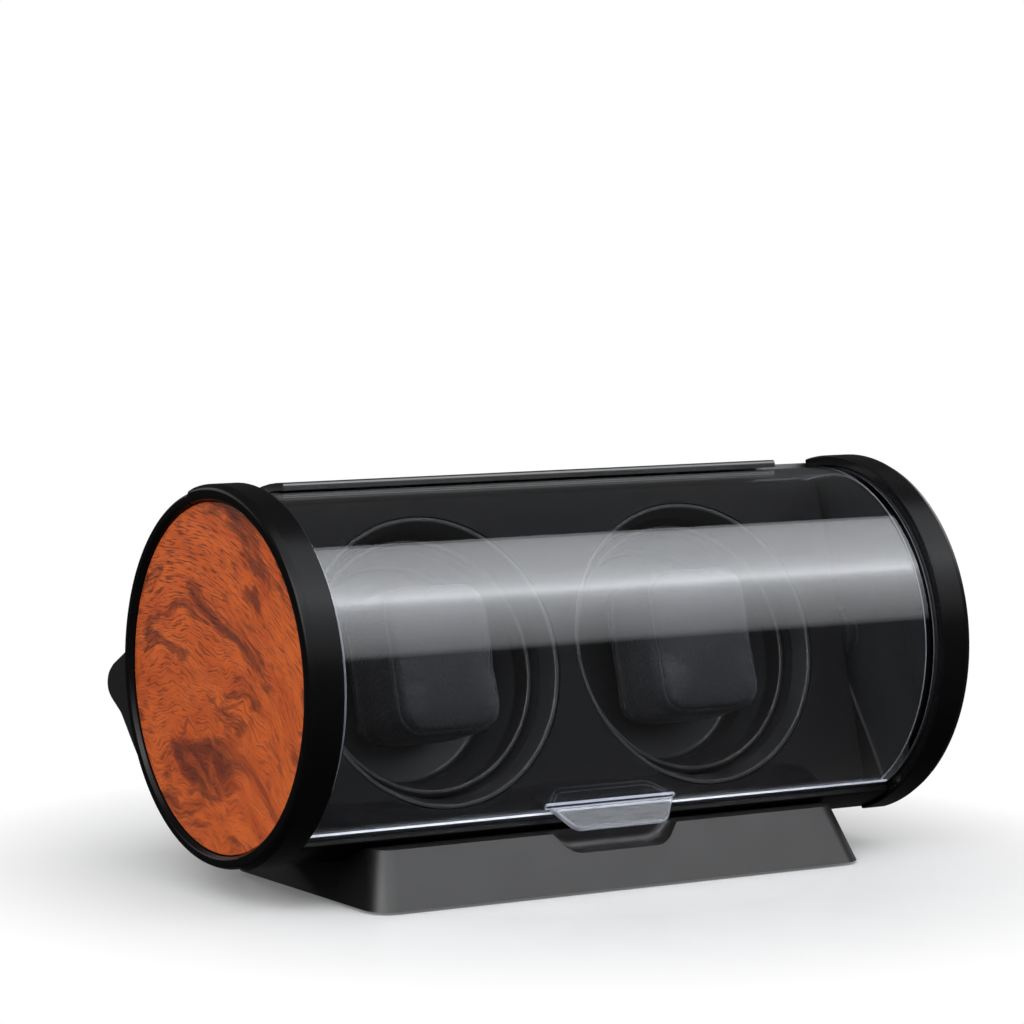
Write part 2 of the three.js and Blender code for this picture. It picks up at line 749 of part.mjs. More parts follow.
// ---- The watch cushions, soft blocks that push onto the drums' posts ----
function cushion() {
  const block = (inset, from, to) =>
    alongY(
      roundedRect(
        -CUSHION_HALF_WIDTH + inset,
        CUSHION_HALF_WIDTH - inset,
        -CUSHION_HALF_HEIGHT + inset,
        CUSHION_HALF_HEIGHT - inset,
        CUSHION_CORNER - inset,
      ),
      from,
      to,
    );
  return block(0, CUSHION_FRONT + 4, CUSHION_BACK - 3)
    .add(block(4, CUSHION_FRONT, CUSHION_BACK))
    .subtract(discAlongY(SOCKET_RADIUS, SOCKET_FROM, CUSHION_BACK + 1));
}

pair("watch_cushion", cushion().translate([DRUM_X, 0, DRUM_Z]), leather, leaning);

export default winder;
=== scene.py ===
import json
import math

import bmesh
import bpy
import numpy as np
from mathutils import Matrix, Vector
from mathutils.bvhtree import BVHTree


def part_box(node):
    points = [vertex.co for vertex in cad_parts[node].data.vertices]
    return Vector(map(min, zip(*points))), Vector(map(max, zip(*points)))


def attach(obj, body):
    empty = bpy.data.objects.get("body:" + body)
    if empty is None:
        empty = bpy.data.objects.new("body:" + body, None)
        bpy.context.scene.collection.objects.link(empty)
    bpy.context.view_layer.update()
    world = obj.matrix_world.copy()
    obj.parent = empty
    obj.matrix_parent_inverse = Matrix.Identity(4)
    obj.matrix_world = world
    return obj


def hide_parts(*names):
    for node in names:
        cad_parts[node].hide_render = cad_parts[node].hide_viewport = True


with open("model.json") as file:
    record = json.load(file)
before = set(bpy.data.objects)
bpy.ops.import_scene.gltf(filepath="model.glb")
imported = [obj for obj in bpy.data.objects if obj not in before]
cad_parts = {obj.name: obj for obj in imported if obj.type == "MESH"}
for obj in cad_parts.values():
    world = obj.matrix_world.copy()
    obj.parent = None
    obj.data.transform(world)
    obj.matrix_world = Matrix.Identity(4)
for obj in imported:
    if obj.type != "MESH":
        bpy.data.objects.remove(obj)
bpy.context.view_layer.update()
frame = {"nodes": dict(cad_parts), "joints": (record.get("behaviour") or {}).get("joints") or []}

# ---- The two working frames, both in millimetres from the cylinder's axis ----
# CYLINDER stands upright, with +Y to the back. LEANING tips back with the front panel and the drums.
MM = 0.001
DISC_LOW, DISC_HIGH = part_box("wood_disc_right")
AXIS = Vector((0, (DISC_LOW.y + DISC_HIGH.y) / 2, (DISC_LOW.z + DISC_HIGH.z) / 2))
DRUM_AXIS = next(j["axis"] for j in frame["joints"] if j["name"] == "drum_spin_right")
LEAN = math.atan2(DRUM_AXIS[2], -DRUM_AXIS[1])
CYLINDER = Matrix.Translation(AXIS) @ Matrix.Scale(MM, 4)
LEANING = Matrix.Translation(AXIS) @ Matrix.Rotation(-LEAN, 4, "X") @ Matrix.Scale(MM, 4)
SEAM = 90 + math.degrees(LEAN)


def corners_in(node, place):
    """A CAD node's vertices in one of the working frames."""
    back = place.inverted()
    return np.array([back @ v.co for v in frame["nodes"][node].data.vertices])


def extent(node, place=CYLINDER):
    """The lowest and highest corners of a CAD node in a working frame."""
    corners = corners_in(node, place)
    return Vector(corners.min(0)), Vector(corners.max(0))


def reach(node):
    """The least and greatest distance of a CAD node's vertices from the cylinder's axis."""
    distance = np.hypot(*corners_in(node, CYLINDER)[:, 1:].T)
    return distance.min(), distance.max()


# ---- Driving sizes, in millimetres ----
GAP = 0.3
FAR = 400  # beyond every piece
STEPS = 160  # steps round a large turned piece

disc_low, disc_high = extent("wood_disc_right")
DISC_RADIUS = disc_high.z
rim_low, rim_high = extent("front_rim_right")
RIM_LIP, RIM_RADIUS = reach("front_rim_right")
cover_high = extent("clear_cover")[1]
COVER_WALL = 2.5
COVER_FROM, COVER_TO = -54.4, 112
TAB_SLOPE = math.radians(46)
TAB_HALF = 25.5
shell_high = extent("rear_shell")[1]
SHELL_OUTER = extent("rear_rim_right")[1].y
SHELL_WALL = 2
SHELL_INNER = SHELL_OUTER - SHELL_WALL
COVER_OUTER = SHELL_INNER - 2 * GAP
LIP_FROM = 92.8
LIP_OUTER = SHELL_OUTER + 0.5
LIP_LEFT, LIP_RIGHT = -102, 93
base_low, base_high = extent("base_front")
BASE_TOP = base_low.z + 18
base_rear_high = extent("base_rear")[1]
panel_low, panel_high = extent("front_panel", LEANING)
drum_low, drum_high = extent("drum_right", LEANING)
DRUM_X = (drum_low.x + drum_high.x) / 2
DRUM_Z = (drum_low.z + drum_high.z) / 2
DRUM_RADIUS = (drum_high.z - drum_low.z) / 2
bezel_low, bezel_high = extent("bezel_ring_right", LEANING)
OPENING_RADIUS = 48.35
cushion_low, cushion_high = extent("watch_cushion_right", LEANING)
plate_low, plate_high = extent("control_plate")
knob_low, knob_high = extent("mode_knob_right")
inlet_low, inlet_high = extent("dc_inlet")
CONTROL_Z = (plate_low.z + plate_high.z) / 2
CONTROL_FACE = 77.6  # where the knobs' grips and the inlet's flange begin


# ---- Mesh making ----
def shape(name, points, faces, place):
    """A new object from points in a working frame, with its faces pointing out."""
    mesh = bpy.data.meshes.new(name)
    mesh.from_pydata([place @ Vector(p) for p in points], [], faces)
    build = bmesh.new()
    build.from_mesh(mesh)
    bmesh.ops.remove_doubles(build, verts=build.verts, dist=1e-7)
    bmesh.ops.recalc_face_normals(build, faces=build.faces)
    build.to_mesh(mesh)
    build.free()
    piece = bpy.data.objects.new(name, mesh)
    bpy.context.scene.collection.objects.link(piece)
    return piece


def turned(name, profile, about="X", centre=(0, 0, 0), turn=(0, 360), steps=STEPS, place=CYLINDER):
    """A closed profile of (radius, station) turned about an axis. About X, angles run from the front up."""
    start, stop = (math.radians(a) for a in turn)
    whole = turn[1] - turn[0] == 360
    steps = max(2, round(steps * (turn[1] - turn[0]) / 360))
    rings = steps if whole else steps + 1
    points = []
    for i in range(rings):
        angle = start + (stop - start) * i / steps
        c, s = math.cos(angle), math.sin(angle)
        for radius, station in profile:
            on = {
                "X": (station, -radius * c, radius * s),
                "Y": (radius * c, station, radius * s),
                "Z": (radius * c, radius * s, station),
            }[about]
            points.append(Vector(on) + Vector(centre))
    n = len(profile)
    faces = []
    for i in range(steps):
        ring, after = i * n, (i + 1) % rings * n
        for j in range(n):
            k = (j + 1) % n
            faces.append((ring + j, ring + k, after + k, after + j))
    if not whole:
        faces += [tuple(range(n)), tuple(range((rings - 1) * n, rings * n))]
    return shape(name, points, faces, place)


def prism(name, outline, low, high, along="X", place=CYLINDER):
    """A closed outline drawn out along an axis. Its points are the other two coordinates, in order."""
    put = {
        "X": lambda a, b, s: (s, a, b),
        "Y": lambda a, b, s: (a, s, b),
        "Z": lambda a, b, s: (a, b, s),
    }[along]
    points = [put(a, b, station) for station in (low, high) for a, b in outline]
    n = len(outline)
    sides = [(i, (i + 1) % n, n + (i + 1) % n, n + i) for i in range(n)]
    return shape(name, points, [tuple(range(n)), tuple(range(n, 2 * n)), *sides], place)


def block(name, low, high, place=CYLINDER):
    outline = [(low[0], low[1]), (high[0], low[1]), (high[0], high[1]), (low[0], high[1])]
    return prism(name, outline, low[2], high[2], "Z", place)


def arc(radius, start, stop, step=1.5):
    """Points on a circle about the cylinder's axis, as (back, up)."""
    steps = max(1, math.ceil(abs(stop - start) / step))
    angles = [math.radians(start + (stop - start) * i / steps) for i in range(steps + 1)]
    return [(-radius * math.cos(a), radius * math.sin(a)) for a in angles]


def filleted(corners, step=12):
    """A closed outline of (a, b, radius) corners with each corner rounded."""
    outline = []
    for i, (a, b, radius) in enumerate(corners):
        here = Vector((a, b))
        before = Vector(corners[i - 1][:2]) - here
        after = Vector(corners[(i + 1) % len(corners)][:2]) - here
        turn = math.pi - before.angle(after)
        if radius == 0 or turn < 0.02:
            outline.append((a, b))
            continue
        cut = min(radius * math.tan(turn / 2), 0.49 * before.length, 0.49 * after.length)
        radius = cut / math.tan(turn / 2)
        first = here + before.normalized() * cut
        middle = here + (before.normalized() + after.normalized()).normalized() * radius / math.cos(turn / 2)
        arm = first - middle
        sense = 1 if before.x * after.y - before.y * after.x < 0 else -1
        steps = max(2, math.ceil(math.degrees(turn) / step))
        for k in range(steps + 1):
            spun = Matrix.Rotation(sense * turn * k / steps, 2) @ arm
            outline.append(tuple(middle + spun))
    return outline


def rod(radius, low, high, low_round=0, high_round=0):
    """The turning profile of a solid cylinder between two stations."""
    return filleted([(0, low, 0), (radius, low, low_round), (radius, high, high_round), (0, high, 0)])


def rounded_rect(low, high, radius):
    (left, bottom), (right, top) = low, high
    return filleted([(x, y, radius) for x, y in ((left, bottom), (right, bottom), (right, top), (left, top))])


def bake(piece):
    """Puts the result of a piece's modifiers in its mesh."""
    graph = bpy.context.evaluated_depsgraph_get()
    mesh = bpy.data.meshes.new_from_object(piece.evaluated_get(graph))
    piece.modifiers.clear()
    piece.data = mesh


def combine(piece, how, *tools):
    """Joins, cuts or intersects a piece with other solids, which are used up."""
    for tool in tools:
        modifier = piece.modifiers.new("combine", "BOOLEAN")
        modifier.solver = "MANIFOLD"
        modifier.operation = how
        modifier.object = tool
        bake(piece)
        bpy.data.objects.remove(tool)
    return piece


def soften(piece, width, segments=3, angle=32):
    """Rounds a piece's sharp edges by width millimetres."""
    modifier = piece.modifiers.new("soft edges", "BEVEL")
    modifier.width = width * MM
    modifier.segments = segments
    modifier.limit_method = "ANGLE"
    modifier.angle_limit = math.radians(angle)
    modifier.miter_outer = "MITER_ARC"
    bake(piece)
    return piece


def smooth(piece, angle=38):
    for polygon in piece.data.polygons:
        polygon.use_smooth = True
    piece.data.set_sharp_from_angle(angle=math.radians(angle))
    modifier = piece.modifiers.new("even shading", "WEIGHTED_NORMAL")
    modifier.keep_sharp = True
    return piece


def mirrored(piece, name):
    """The left-hand copy of a right-hand piece."""
    mesh = piece.data.copy()
    mesh.transform(Matrix.Scale(-1, 4, (1, 0, 0)))
    mesh.flip_normals()
    copy = bpy.data.objects.new(name, mesh)
    bpy.context.scene.collection.objects.link(copy)
    return copy


def install(piece, look, slot, body, *nodes):
    """Gives a finished piece its material and its place in the frame."""
    piece.data.materials.clear()
    piece.data.materials.append(look)
    smooth(piece)
    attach(piece, body)
    if nodes:
        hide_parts(*nodes)
    return piece


def install_pair(piece, look, slot, body, node):
    """Installs a right-hand piece and its mirror image. "SIDE" in a name stands for right or left."""
    right = node + "_right"
    left = mirrored(piece, piece.name.replace("right", "left"))
    install(piece, look, slot, body.replace("SIDE", "right"), right)
    install(left, look, slot, body.replace("SIDE", "left"), node + "_left")
    return piece, left


# ---- Materials ----
class Look:
    """A material with one Principled shader, whose colour, roughness and bump come from nodes."""

    def __init__(self, name, **settings):
        self.material = bpy.data.materials.new(name)
        self.material.use_nodes = True
        self.tree = self.material.node_tree
        self.shader = self.tree.nodes["Principled BSDF"]
        for socket, value in settings.items():
            self.shader.inputs[socket.replace("_", " ")].default_value = value
        self.place = self.node("ShaderNodeTexCoord").outputs["Object"]

    def link(self, source, target):
        self.tree.links.new(source, target)

    def node(self, kind, inputs=None, **settings):
        made = self.tree.nodes.new(kind)
        for key, value in settings.items():
            setattr(made, key, value)
        for key, value in (inputs or {}).items():
            if isinstance(value, bpy.types.NodeSocket):
                self.link(value, made.inputs[key])
            else:
                made.inputs[key].default_value = value
        return made

    def math(self, operation, a, b=0.0, c=0.5):
        return self.node("ShaderNodeMath", {0: a, 1: b, 2: c}, operation=operation).outputs[0]

    def stretched(self, scale, source=None, turn=(0, 0, 0), shift=(0, 0, 0)):
        inputs = {"Vector": source or self.place, "Scale": scale, "Rotation": turn, "Location": shift}
        return self.node("ShaderNodeMapping", inputs).outputs[0]

    def noise(self, scale, detail=3, rough=0.5, source=None, distortion=0.0):
        inputs = {
            "Vector": source or self.place,
            "Scale": scale,
            "Detail": detail,
            "Roughness": rough,
            "Distortion": distortion,
        }
        return self.node("ShaderNodeTexNoise", inputs).outputs["Fac"]

    def ramp(self, source, *stops):
        made = self.node("ShaderNodeValToRGB", {"Fac": source})
        ramp = made.color_ramp
        while len(ramp.elements) < len(stops):
            ramp.elements.new(0.5)
        for element, (position, colour) in zip(ramp.elements, stops):
            element.position = position
            element.color = (*colour, 1) if hasattr(colour, "__len__") else (colour, colour, colour, 1)
        return made.outputs["Color"]

    def mix(self, factor, a, b, how="MIX"):
        made = self.node("ShaderNodeMix", data_type="RGBA", blend_type=how)
        for socket, value in (("Factor_Float", factor), ("A_Color", a), ("B_Color", b)):
            target = next(s for s in made.inputs if s.identifier == socket)
            if isinstance(value, bpy.types.NodeSocket):
                self.link(value, target)
            else:
                target.default_value = (*value, 1) if hasattr(value, "__len__") else value
        return next(s for s in made.outputs if s.identifier == "Result_Color")

    def colour(self, source):
        self.link(source, self.shader.inputs["Base Color"])
        return self

    def roughness(self, source):
        self.link(source, self.shader.inputs["Roughness"])
        return self

    def bump(self, height, distance, strength=1.0):
        inputs = {"Height": height, "Distance": distance, "Strength": strength}
        self.link(self.node("ShaderNodeBump", inputs).outputs[0], self.shader.inputs["Normal"])
        return self


def moulded(name, dark, light, rough, grain=0.0000025, **settings):
    """Moulded plastic: a fine spark-eroded grain, slow changes of tone and a little wear in the gloss."""
    look = Look(name, **settings)
    tone = look.ramp(look.noise(22, 4), (0.3, dark), (0.75, light))
    speck = look.ramp(look.noise(2600, 2), (0.35, 0.93), (0.7, 1.0))
    look.colour(look.mix(1.0, tone, speck, "MULTIPLY"))
    wear = look.ramp(look.noise(55, 5, 0.65), (0.3, rough - 0.03), (0.75, rough + 0.05))
    look.roughness(wear)
    look.bump(look.noise(3200, 2, 0.6), grain)
    return look.material


def burl_wood():
    """Lacquered burl veneer: wavy pores at the top, a smoky figure in the middle, swirling eyes below."""
    look = Look("burl veneer", Coat_Weight=0.2, Coat_Roughness=0.2, Specular_IOR_Level=0.4)
    size = 1 / (DISC_RADIUS * MM)
    flat = look.stretched((0, size, size), shift=(0, -AXIS.y * size, -AXIS.z * size))
    parts = look.node("ShaderNodeSeparateXYZ", {0: flat})
    # Across runs to the front and up runs to the top, from -1 to 1. Each end has its own cut of the veneer.
    across = look.math("MULTIPLY", parts.outputs["Y"], -1.0)
    up = parts.outputs["Z"]
    side = look.math("GREATER_THAN", look.node("ShaderNodeSeparateXYZ", {0: look.place}).outputs["X"], 0.0)
    cut = look.math("MULTIPLY", side, 7.3)
    sheet = look.node("ShaderNodeCombineXYZ", {"X": across, "Y": up, "Z": cut}).outputs[0]

    calm = look.ramp(up, (0.0, 0.55), (0.50, 0.13))
    drift = look.node("ShaderNodeTexNoise", {"Vector": sheet, "Scale": 1.5, "Detail": 3.0}).outputs["Color"]
    middle = (0.5, 0.5, 0.5)
    centred = look.node("ShaderNodeVectorMath", {0: drift, 1: middle}, operation="SUBTRACT").outputs[0]
    drawn = look.node("ShaderNodeVectorMath", {0: centred, "Scale": calm}, operation="SCALE").outputs[0]
    warped = look.node("ShaderNodeVectorMath", {0: sheet, 1: drawn}, operation="ADD").outputs[0]
    along = look.node("ShaderNodeSeparateXYZ", {0: warped})
    # The grain arches over and falls to the front.
    arch = look.math("MULTIPLY", look.math("MULTIPLY", along.outputs["X"], along.outputs["X"]), 0.26)
    fall = look.math("ADD", look.math("MULTIPLY", along.outputs["X"], 0.24), arch)
    course = look.math("ADD", along.outputs["Y"], fall)
    grain = look.node("ShaderNodeCombineXYZ", {"X": along.outputs["X"], "Y": course, "Z": cut}).outputs[0]

    orange, red = (0.66, 0.135, 0.030), (0.46, 0.074, 0.020)
    maroon, umber = (0.105, 0.024, 0.016), (0.045, 0.012, 0.009)
    clouds = look.noise(1.0, 6, 0.68, look.stretched((1.6, 5.0, 1), grain))
    ground = look.ramp(clouds, (0.32, red), (0.60, orange))
    smoke = look.noise(1.0, 8, 0.66, look.stretched((1.25, 3.4, 1), grain, shift=(3.1, 1.2, 0)), 0.5)
    figure = look.ramp(smoke, (0.525, 0.0), (0.565, 0.60), (0.63, 1.0))
    toned = look.mix(look.math("MULTIPLY", figure, 0.86), ground, maroon)
    # Fine broken pores follow the grain; they crowd the top third.
    pores = look.noise(1.0, 3, 0.6, look.stretched((8, 92, 1), grain))
    crowd = look.ramp(look.math("MULTIPLY_ADD", up, 0.5), (0.0, 0.45), (0.75, 1.0))
    strokes = look.math("MULTIPLY", look.ramp(pores, (0.50, 0.0), (0.59, 1.0)), crowd)
    toned = look.mix(look.math("MULTIPLY", strokes, 0.66), toned, umber)
    # Burl eyes: dark cores with rings round them, in drifting groups.
    eye = look.node("ShaderNodeTexVoronoi", {"Vector": warped, "Scale": 6.5, "Randomness": 1.0})
    groups = look.ramp(look.noise(2.4, 3, 0.6, sheet), (0.47, 0.0), (0.60, 1.0))
    core = look.ramp(eye.outputs["Distance"], (0.02, 1.0), (0.20, 0.25), (0.24, 0.55), (0.36, 0.0))
    toned = look.mix(look.math("MULTIPLY", look.math("MULTIPLY", core, groups), 0.85), toned, maroon)
    fleck = look.ramp(look.noise(30, 3, 0.7, look.stretched((1, 2.2, 1), warped)), (0.60, 0.0), (0.72, 1.0))
    toned = look.mix(look.math("MULTIPLY", fleck, 0.5), toned, maroon)
    look.colour(toned)
    look.roughness(look.ramp(look.noise(900, 2), (0.3, 0.30), (0.7, 0.38)))
    look.bump(look.math("MULTIPLY", strokes, -1.0), 0.00006, 0.6)
    return look.material


def clear_acrylic():
    """Polished acrylic with faint scuffs. Lamps shine through it."""
    look = Look("clear acrylic", Transmission_Weight=1.0, IOR=1.49)
    look.colour(look.ramp(look.noise(9, 2), (0.3, (0.95, 0.97, 1.0)), (0.7, (0.98, 0.985, 1.0))))
    scuffs = look.noise(1.0, 3, 0.7, look.stretched((260, 2600, 1400)))
    look.roughness(look.ramp(scuffs, (0.60, 0.002), (0.80, 0.05)))
    output = look.tree.nodes["Material Output"]
    through = look.node("ShaderNodeBsdfTransparent", {"Color": (0.93, 0.94, 0.96, 1)})
    shadow = look.node("ShaderNodeLightPath").outputs["Is Shadow Ray"]
    chosen = look.node("ShaderNodeMixShader", {0: shadow, 1: look.shader.outputs[0], 2: through.outputs[0]})
    look.link(chosen.outputs[0], output.inputs["Surface"])
    return look.material


def acrylic_edge_painted_glow():
    """The acrylic's cut edges, given a pale colour that is painted glow: it stands in for the light that runs
    along inside the acrylic.
    """
    look = Look("acrylic edge painted glow", Transmission_Weight=0.6, IOR=1.49)
    # A pale bluish-white colour on clear acrylic: painted glow.
    look.colour(look.ramp(look.noise(60, 3), (0.3, (0.34, 0.35, 0.42)), (0.7, (0.48, 0.49, 0.55))))
    look.roughness(look.ramp(look.noise(400, 3), (0.3, 0.34), (0.7, 0.46)))
    look.bump(look.noise(900, 2), 0.000003)
    return look.material


def leatherette():
    """Soft grained leatherette: rounded pebbles with creases between them, the creases darkened with painted
    shade.
    """
    look = Look("black leatherette", Sheen_Weight=0.05, Sheen_Roughness=0.5, Specular_IOR_Level=0.20)
    pebbles = look.node("ShaderNodeTexVoronoi", {"Vector": look.place, "Scale": 950.0}, feature="SMOOTH_F1")
    creases = look.noise(240, 4, 0.6)
    height = look.math("ADD", look.math("MULTIPLY", pebbles.outputs["Distance"], -1.0), creases)
    # The colour follows the height: darker in the creases and lighter on the pebbles' tops, which is painted
    # shade.
    look.colour(look.ramp(height, (0.0, (0.004, 0.004, 0.005)), (0.8, (0.011, 0.0105, 0.012))))
    look.roughness(look.ramp(look.noise(70, 3), (0.3, 0.54), (0.7, 0.66)))
    look.bump(height, 0.00022, 0.8)
    return look.material


def metal(name, dark, light, rough, stretch):
    """Drawn or ground steel: fine lines one way, and patches of a duller tone."""
    look = Look(name, Metallic=1.0)
    lines = look.noise(1.0, 4, 0.7, look.stretched(stretch))
    duller = look.ramp(look.noise(90, 3), (0.3, 0.0), (0.7, 0.5))
    ground = look.ramp(lines, (0.2, dark), (0.8, light))
    look.colour(look.mix(duller, ground, dark))
    look.roughness(look.ramp(lines, (0.2, rough), (0.8, rough + 0.14)))
    look.bump(lines, 0.00001)
    return look.material


def rubber(name, tone, rough):
    """Moulded rubber with dust in its grain."""
    look = Look(name, Specular_IOR_Level=0.3)
    dust = look.ramp(look.noise(140, 5, 0.7), (0.52, 0.0), (0.8, 0.35))
    look.colour(look.mix(dust, (tone, tone, tone), (tone * 4, tone * 3.8, tone * 3.6)))
    look.roughness(look.ramp(look.noise(60, 3), (0.3, rough - 0.05), (0.7, rough + 0.05)))
    look.bump(look.noise(1500, 3, 0.6), 0.00004)
    return look.material


def circuit():
    """A green board with copper tracks under its lacquer."""
    look = Look("circuit board", Coat_Weight=0.2)
    inputs = {
        "Vector": look.stretched((1, 1, 1), turn=(math.pi / 2, 0, 0)),
        "Scale": 160.0,
        "Mortar Size": 0.06,
        "Color1": (0.010, 0.085, 0.035, 1),
        "Color2": (0.014, 0.10, 0.04, 1),
        "Mortar": (0.05, 0.20, 0.08, 1),
    }
    tracks = look.node("ShaderNodeTexBrick", inputs)
    look.colour(tracks.outputs["Color"])
    look.roughness(look.ramp(look.noise(200, 3), (0.3, 0.35), (0.7, 0.5)))
    look.bump(tracks.outputs["Fac"], 0.00003)
    return look.material


BLACK = (0.0020, 0.0020, 0.0022)
SOFT_BLACK = (0.0036, 0.0035, 0.0037)
satin = moulded("satin black plastic", BLACK, SOFT_BLACK, 0.34, Specular_IOR_Level=0.10)
shell_satin = moulded("shell satin black plastic", BLACK, SOFT_BLACK, 0.36, Specular_IOR_Level=1.0)
panel_black = moulded("panel black plastic", BLACK, SOFT_BLACK, 0.48, Specular_IOR_Level=0.07)
BASE_BLACK = (0.0050, 0.0044, 0.0041)
SOFT_BASE_BLACK = (0.0076, 0.0067, 0.0062)
base_satin = moulded("base satin black plastic", BASE_BLACK, SOFT_BASE_BLACK, 0.40, 0.000004,
                     Specular_IOR_Level=0.38)
rim_black = moulded("rim black plastic", BLACK, SOFT_BLACK, 0.25, Specular_IOR_Level=0.10)
matt = moulded("matt black plastic", BLACK, SOFT_BLACK, 0.55, Specular_IOR_Level=0.3)
sheen_black = moulded("drum black plastic", BLACK, SOFT_BLACK, 0.44, Specular_IOR_Level=0.36)
nylon = moulded("natural nylon", (0.58, 0.56, 0.50), (0.68, 0.66, 0.60), 0.42, 0.000005,
                Subsurface_Weight=0.1)
wood = burl_wood()
acrylic = clear_acrylic()
edge_acrylic_painted_glow = acrylic_edge_painted_glow()
leather = leatherette()
steel = metal("drawn steel", (0.42, 0.43, 0.45), (0.66, 0.67, 0.69), 0.24, (400, 6000, 6000))
foot_rubber = rubber("foot rubber", 0.012, 0.80)
belt_rubber = rubber("belt rubber", 0.009, 0.70)
board = circuit()


# ---- The clear cover ----
def finger_tab():
    """The lip under the cover's lower edge, with rounded corners and a thick, soft rim."""
    tab_low = extent("clear_cover")[0]
    thickness, length, slope = 2.2, 11, TAB_SLOPE
    root, tip = TAB_HALF, TAB_HALF - 7.5
    outline = filleted([
        (-root, -1.5, 0), (root, -1.5, 0), (root, 0, 3), (tip, length, 5), (-tip, length, 5), (-root, 0, 3),
    ])
    down = Vector((0, -math.cos(slope), -math.sin(slope)))
    out = Vector((0, -math.sin(slope), math.cos(slope)))
    corner = Vector((0, -34.2, tab_low.z + length * math.sin(slope)))
    turn = Matrix((-down.cross(out), down, out)).transposed().to_4x4()
    tab = prism("tab", outline, 0, thickness, "Z", CYLINDER @ Matrix.Translation(corner) @ turn)
    return soften(tab, 0.85, 4)


def split_cut_faces(piece):
    """Cuts the U-shaped faces at the cover's two edges into triangles, so that their arms can be made black,
    which is painted shade.
    """
    build = bmesh.new()
    build.from_mesh(piece.data)
    cut = [face for face in build.faces if len(face.verts) > 8 and abs(face.normal.x) < 0.5]
    bmesh.ops.triangulate(build, faces=cut)
    build.to_mesh(piece.data)
    build.free()


def clear_cover():
    end, inner = cover_high.x, COVER_OUTER - COVER_WALL
    hub, hole = 9, 3.0
    face = end - COVER_WALL
    tray = filleted([(hole, end, 0), (COVER_OUTER, end, 1.4), (COVER_OUTER, -end, 1.4), (hole, -end, 0),
                     (hole, -face, 0), (inner, -face, 1.0), (inner, face, 1.0), (hole, face, 0)], 15)
    cover = turned("cover_clear", tray, turn=(COVER_FROM, COVER_TO), steps=300)
    for side in (-1, 1):
        ring = [(hole, side * face), (hub, side * face), (hub, side * end), (hole, side * end)]
        combine(cover, "UNION", turned("hub", ring, turn=(COVER_TO - 1, COVER_FROM + 361), steps=72))
    combine(cover, "UNION", finger_tab())
    soften(cover, 0.32, 3)
    install(cover, acrylic, "clear_acrylic", "cover", "clear_cover")
    cover.data.materials.append(edge_acrylic_painted_glow)
    cover.data.materials.append(matt)
    split_cut_faces(cover)
    # The rounds at both ends, the long edges and the tab's rim get the pale edge material: painted glow in
    # place of the light the acrylic carries to its edges.
    # The end walls' edges are made black: painted shade that hides the light the clear edges would carry.
    back = CYLINDER.inverted()
    tab_face = Vector((0, -math.sin(TAB_SLOPE), math.cos(TAB_SLOPE)))
    for polygon in cover.data.polygons:
        at = back @ polygon.center
        radius = math.hypot(at.y, at.z)
        out = Vector((0, at.y, at.z)) / radius
        normal = polygon.normal
        end_wall = radius < inner - 1.2
        flat = abs(normal.x) > 0.93 or abs(normal.dot(tab_face if radius > COVER_OUTER + 0.1 else out)) > 0.93
        if not flat:
            # Index 1 is the painted glow on the edges; index 2 is black painted shade on the end walls'
            # edges.
            polygon.material_index = 2 if end_wall and abs(at.x) > face - 0.1 else 1
    return cover


# ---- The ends ----
def ends():
    face, lip, bore = rim_high.x, RIM_LIP, 58.4
    band = filleted([
        (bore, rim_low.x, 0), (RIM_RADIUS, rim_low.x, 0.6), (RIM_RADIUS, face - 2.6, 1.0), (60.7, face, 1.5),
        (lip + 0.9, face, 0.9), (lip, face - 1.5, 0.5), (lip, disc_low.x, 0), (bore, disc_low.x, 0),
    ])
    margin = math.degrees(GAP / 2 / RIM_RADIUS)
    front = turned("rim_front_right", band, turn=(SEAM - 180 + margin, SEAM - margin), steps=240)
    soften(front, 0.4, 2, 60)
    install_pair(front, rim_black, "satin_black", "root", "front_rim")

    bead = filleted([
        (lip, disc_low.x, 0), (SHELL_OUTER, disc_low.x, 0.3), (SHELL_OUTER, face - 2.0, 0.9),
        (60.0, face, 1.3), (lip + 0.9, face, 0.9), (lip, face - 1.5, 0.5),
    ])
    rear = turned("rim_rear_right", bead, turn=(SEAM + margin, SEAM + 180 - margin), steps=240)
    soften(rear, 0.4, 2, 60)
    install_pair(rear, rim_black, "satin_black", "root", "rear_rim")

    disc = turned("disc_wood_right", rod(DISC_RADIUS, disc_low.x, disc_high.x, 0, 0.5))
    install_pair(disc, wood, "burl_wood", "root", "wood_disc")

    plate = filleted([
        (0, 124.5, 0), (58, 124.5, 0.4), (58, 117.3, 0.5), (55, 117.3, 0.5), (55, 121.5, 0.6),
        (9, 121.5, 0.6), (9, 117.6, 0.4), (3, 117.6, 0.3), (3, 122.4, 0), (0, 122.4, 0),
    ])
    install_pair(turned("plate_end_right", plate), matt, "satin_black", "root", "end_plate")

    pin_low, pin_high = extent("pivot_pin_right")
    pin = rod(pin_high.z, pin_low.x, pin_high.x, 0.5, 0.5)
    install_pair(turned("pin_right", pin, steps=48), steel, "steel", "root", "pivot_pin")


# ---- The rear shell and its controls ----
def ridge_corners():
    """The corners of the ridge along the back, read off the end of the CAD shell, from the top edge down."""
    corners = corners_in("rear_shell", CYLINDER)
    at_end = corners[corners[:, 0] > shell_high.x - 0.01][:, 1:]
    outer = np.unique(at_end[np.hypot(*at_end.T) > SHELL_OUTER + 0.2].round(3), axis=0)
    turn = np.degrees(np.arctan2(outer[:, 1], -outer[:, 0])) % 360
    return [tuple(p) for p in outer[np.argsort(turn)] if p[0] > 0]


